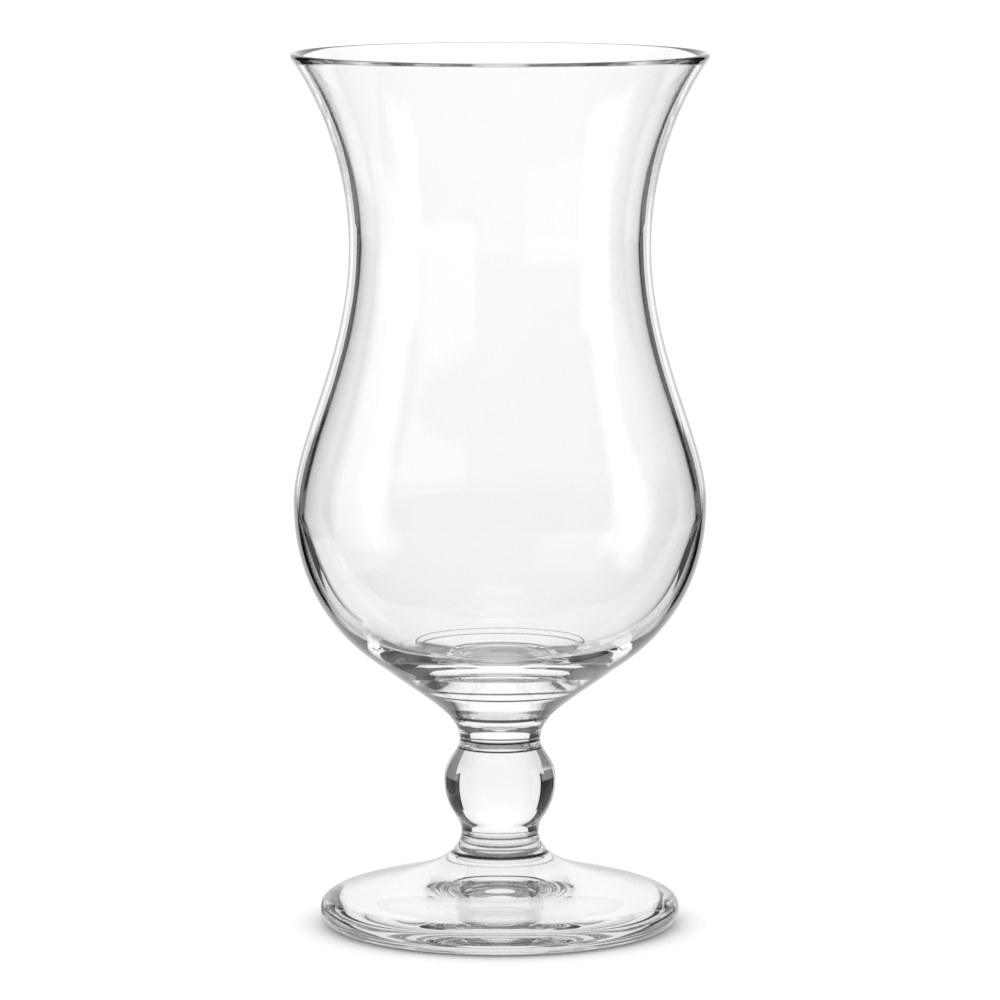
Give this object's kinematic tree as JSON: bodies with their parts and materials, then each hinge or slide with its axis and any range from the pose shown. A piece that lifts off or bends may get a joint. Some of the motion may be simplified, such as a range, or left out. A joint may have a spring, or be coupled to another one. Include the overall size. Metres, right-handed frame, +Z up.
{
  "type": "poco grande glass",
  "caption": "Footed cocktail glass with a flared rim, narrow waist and round belly, on a short knop stem and a wide disc foot, in clear glass.",
  "frame": {"origin": "centre of the foot's resting ring, on the table", "axes": "+Z up along the glass's own axis, from the table through the stem to the rim; X and Y are free, because the glass is turned"},
  "size_m": [0.086, 0.086, 0.181],
  "materials": {
    "bowl_glass": "blown, fire-polished, clear",
    "stem_glass": "pressed, fire-polished, clear",
    "foot_glass": "pressed, fire-polished, clear"
  },
  "bodies": {
    "root": {"bowl": "bowl_glass", "stem": "stem_glass", "foot": "foot_glass"}
  },
  "joints": []
}
